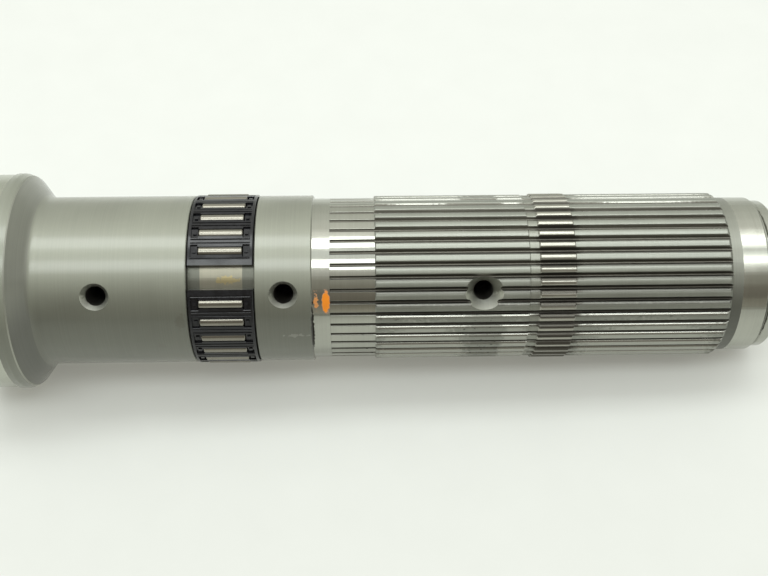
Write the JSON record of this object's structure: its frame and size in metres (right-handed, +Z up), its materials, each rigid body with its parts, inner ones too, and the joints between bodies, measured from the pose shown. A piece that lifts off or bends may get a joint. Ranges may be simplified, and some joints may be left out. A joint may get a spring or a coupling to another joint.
{
  "type": "transmission main shaft",
  "caption": "Stepped transmission shaft with a collar, ground journals, an involute spline with a raised band, oil holes and a split needle roller bearing in a groove.",
  "frame": {"origin": "centre of the flat end face of the large bearing seat, on the shaft axis", "axes": "+X along the shaft axis towards the nose, -Y towards the side with the oil holes, +Z up"},
  "size_m": [0.2633, 0.0708, 0.0708],
  "materials": {
    "shaft_steel": "satin ground steel with polished rings",
    "roller_steel": "polished",
    "cage_polymer": "oily satin black"
  },
  "bodies": {
    "shaft": {"main_shaft": "shaft_steel"},
    "cage_lower": {"cage_half_lower": "cage_polymer"},
    "cage_upper": {"cage_half_upper": "cage_polymer"},
    "needle_roller_lower_01": {"needle_roller_lower_01": "roller_steel"},
    "needle_roller_lower_02": {"needle_roller_lower_02": "roller_steel"},
    "needle_roller_lower_03": {"needle_roller_lower_03": "roller_steel"},
    "needle_roller_lower_04": {"needle_roller_lower_04": "roller_steel"},
    "needle_roller_lower_05": {"needle_roller_lower_05": "roller_steel"},
    "needle_roller_lower_06": {"needle_roller_lower_06": "roller_steel"},
    "needle_roller_lower_07": {"needle_roller_lower_07": "roller_steel"},
    "needle_roller_lower_08": {"needle_roller_lower_08": "roller_steel"},
    "needle_roller_lower_09": {"needle_roller_lower_09": "roller_steel"},
    "needle_roller_lower_10": {"needle_roller_lower_10": "roller_steel"},
    "needle_roller_lower_11": {"needle_roller_lower_11": "roller_steel"},
    "needle_roller_lower_12": {"needle_roller_lower_12": "roller_steel"},
    "needle_roller_upper_01": {"needle_roller_upper_01": "roller_steel"},
    "needle_roller_upper_02": {"needle_roller_upper_02": "roller_steel"},
    "needle_roller_upper_03": {"needle_roller_upper_03": "roller_steel"},
    "needle_roller_upper_04": {"needle_roller_upper_04": "roller_steel"},
    "needle_roller_upper_05": {"needle_roller_upper_05": "roller_steel"},
    "needle_roller_upper_06": {"needle_roller_upper_06": "roller_steel"},
    "needle_roller_upper_07": {"needle_roller_upper_07": "roller_steel"},
    "needle_roller_upper_08": {"needle_roller_upper_08": "roller_steel"},
    "needle_roller_upper_09": {"needle_roller_upper_09": "roller_steel"},
    "needle_roller_upper_10": {"needle_roller_upper_10": "roller_steel"},
    "needle_roller_upper_11": {"needle_roller_upper_11": "roller_steel"},
    "needle_roller_upper_12": {"needle_roller_upper_12": "roller_steel"}
  },
  "joints": [
    {"name": "cage_spin", "type": "hinge", "parent": "shaft", "child": "cage_lower", "pos_m": [0.08477, 0, 0], "axis": [1, 0, 0], "continuous": true},
    {"name": "cage_upper_spin", "type": "hinge", "parent": "shaft", "child": "cage_upper", "pos_m": [0.08477, 0, 0], "axis": [1, 0, 0], "continuous": true},
    {"name": "needle_roller_lower_01_spin", "type": "hinge", "parent": "cage_lower", "child": "needle_roller_lower_01", "pos_m": [0.08477, -0.02162, 0.01479], "axis": [1, 0, 0], "continuous": true},
    {"name": "needle_roller_lower_02_spin", "type": "hinge", "parent": "cage_lower", "child": "needle_roller_lower_02", "pos_m": [0.08477, -0.02443, 0.00947], "axis": [1, 0, 0], "continuous": true},
    {"name": "needle_roller_lower_03_spin", "type": "hinge", "parent": "cage_lower", "child": "needle_roller_lower_03", "pos_m": [0.08477, -0.02594, 0.00366], "axis": [1, 0, 0], "continuous": true},
    {"name": "needle_roller_lower_04_spin", "type": "hinge", "parent": "cage_lower", "child": "needle_roller_lower_04", "pos_m": [0.08477, -0.02609, -0.00236], "axis": [1, 0, 0], "continuous": true},
    {"name": "needle_roller_lower_05_spin", "type": "hinge", "parent": "cage_lower", "child": "needle_roller_lower_05", "pos_m": [0.08477, -0.02487, -0.00824], "axis": [1, 0, 0], "continuous": true},
    {"name": "needle_roller_lower_06_spin", "type": "hinge", "parent": "cage_lower", "child": "needle_roller_lower_06", "pos_m": [0.08477, -0.02234, -0.01369], "axis": [1, 0, 0], "continuous": true},
    {"name": "needle_roller_lower_07_spin", "type": "hinge", "parent": "cage_lower", "child": "needle_roller_lower_07", "pos_m": [0.08477, -0.01863, -0.01843], "axis": [1, 0, 0], "continuous": true},
    {"name": "needle_roller_lower_08_spin", "type": "hinge", "parent": "cage_lower", "child": "needle_roller_lower_08", "pos_m": [0.08477, -0.01394, -0.02219], "axis": [1, 0, 0], "continuous": true},
    {"name": "needle_roller_lower_09_spin", "type": "hinge", "parent": "cage_lower", "child": "needle_roller_lower_09", "pos_m": [0.08477, -0.00851, -0.02478], "axis": [1, 0, 0], "continuous": true},
    {"name": "needle_roller_lower_10_spin", "type": "hinge", "parent": "cage_lower", "child": "needle_roller_lower_10", "pos_m": [0.08477, -0.00264, -0.02607], "axis": [1, 0, 0], "continuous": true},
    {"name": "needle_roller_lower_11_spin", "type": "hinge", "parent": "cage_lower", "child": "needle_roller_lower_11", "pos_m": [0.08477, 0.00337, -0.02598], "axis": [1, 0, 0], "continuous": true},
    {"name": "needle_roller_lower_12_spin", "type": "hinge", "parent": "cage_lower", "child": "needle_roller_lower_12", "pos_m": [0.08477, 0.00921, -0.02453], "axis": [1, 0, 0], "continuous": true},
    {"name": "needle_roller_upper_01_spin", "type": "hinge", "parent": "cage_upper", "child": "needle_roller_upper_01", "pos_m": [0.08477, 0.02162, -0.01479], "axis": [1, 0, 0], "continuous": true},
    {"name": "needle_roller_upper_02_spin", "type": "hinge", "parent": "cage_upper", "child": "needle_roller_upper_02", "pos_m": [0.08477, 0.02443, -0.00947], "axis": [1, 0, 0], "continuous": true},
    {"name": "needle_roller_upper_03_spin", "type": "hinge", "parent": "cage_upper", "child": "needle_roller_upper_03", "pos_m": [0.08477, 0.02594, -0.00366], "axis": [1, 0, 0], "continuous": true},
    {"name": "needle_roller_upper_04_spin", "type": "hinge", "parent": "cage_upper", "child": "needle_roller_upper_04", "pos_m": [0.08477, 0.02609, 0.00236], "axis": [1, 0, 0], "continuous": true},
    {"name": "needle_roller_upper_05_spin", "type": "hinge", "parent": "cage_upper", "child": "needle_roller_upper_05", "pos_m": [0.08477, 0.02487, 0.00824], "axis": [1, 0, 0], "continuous": true},
    {"name": "needle_roller_upper_06_spin", "type": "hinge", "parent": "cage_upper", "child": "needle_roller_upper_06", "pos_m": [0.08477, 0.02234, 0.01369], "axis": [1, 0, 0], "continuous": true},
    {"name": "needle_roller_upper_07_spin", "type": "hinge", "parent": "cage_upper", "child": "needle_roller_upper_07", "pos_m": [0.08477, 0.01863, 0.01843], "axis": [1, 0, 0], "continuous": true},
    {"name": "needle_roller_upper_08_spin", "type": "hinge", "parent": "cage_upper", "child": "needle_roller_upper_08", "pos_m": [0.08477, 0.01394, 0.02219], "axis": [1, 0, 0], "continuous": true},
    {"name": "needle_roller_upper_09_spin", "type": "hinge", "parent": "cage_upper", "child": "needle_roller_upper_09", "pos_m": [0.08477, 0.00851, 0.02478], "axis": [1, 0, 0], "continuous": true},
    {"name": "needle_roller_upper_10_spin", "type": "hinge", "parent": "cage_upper", "child": "needle_roller_upper_10", "pos_m": [0.08477, 0.00264, 0.02607], "axis": [1, 0, 0], "continuous": true},
    {"name": "needle_roller_upper_11_spin", "type": "hinge", "parent": "cage_upper", "child": "needle_roller_upper_11", "pos_m": [0.08477, -0.00337, 0.02598], "axis": [1, 0, 0], "continuous": true},
    {"name": "needle_roller_upper_12_spin", "type": "hinge", "parent": "cage_upper", "child": "needle_roller_upper_12", "pos_m": [0.08477, -0.00921, 0.02453], "axis": [1, 0, 0], "continuous": true}
  ],
  "couplings": [
    {"joint": "cage_upper_spin", "follows": "cage_spin", "ratio": 1},
    {"joint": "needle_roller_lower_01_spin", "follows": "cage_spin", "ratio": 13.903},
    {"joint": "needle_roller_lower_02_spin", "follows": "cage_spin", "ratio": 13.903},
    {"joint": "needle_roller_lower_03_spin", "follows": "cage_spin", "ratio": 13.903},
    {"joint": "needle_roller_lower_04_spin", "follows": "cage_spin", "ratio": 13.903},
    {"joint": "needle_roller_lower_05_spin", "follows": "cage_spin", "ratio": 13.903},
    {"joint": "needle_roller_lower_06_spin", "follows": "cage_spin", "ratio": 13.903},
    {"joint": "needle_roller_lower_07_spin", "follows": "cage_spin", "ratio": 13.903},
    {"joint": "needle_roller_lower_08_spin", "follows": "cage_spin", "ratio": 13.903},
    {"joint": "needle_roller_lower_09_spin", "follows": "cage_spin", "ratio": 13.903},
    {"joint": "needle_roller_lower_10_spin", "follows": "cage_spin", "ratio": 13.903},
    {"joint": "needle_roller_lower_11_spin", "follows": "cage_spin", "ratio": 13.903},
    {"joint": "needle_roller_lower_12_spin", "follows": "cage_spin", "ratio": 13.903},
    {"joint": "needle_roller_upper_01_spin", "follows": "cage_spin", "ratio": 13.903},
    {"joint": "needle_roller_upper_02_spin", "follows": "cage_spin", "ratio": 13.903},
    {"joint": "needle_roller_upper_03_spin", "follows": "cage_spin", "ratio": 13.903},
    {"joint": "needle_roller_upper_04_spin", "follows": "cage_spin", "ratio": 13.903},
    {"joint": "needle_roller_upper_05_spin", "follows": "cage_spin", "ratio": 13.903},
    {"joint": "needle_roller_upper_06_spin", "follows": "cage_spin", "ratio": 13.903},
    {"joint": "needle_roller_upper_07_spin", "follows": "cage_spin", "ratio": 13.903},
    {"joint": "needle_roller_upper_08_spin", "follows": "cage_spin", "ratio": 13.903},
    {"joint": "needle_roller_upper_09_spin", "follows": "cage_spin", "ratio": 13.903},
    {"joint": "needle_roller_upper_10_spin", "follows": "cage_spin", "ratio": 13.903},
    {"joint": "needle_roller_upper_11_spin", "follows": "cage_spin", "ratio": 13.903},
    {"joint": "needle_roller_upper_12_spin", "follows": "cage_spin", "ratio": 13.903}
  ]
}
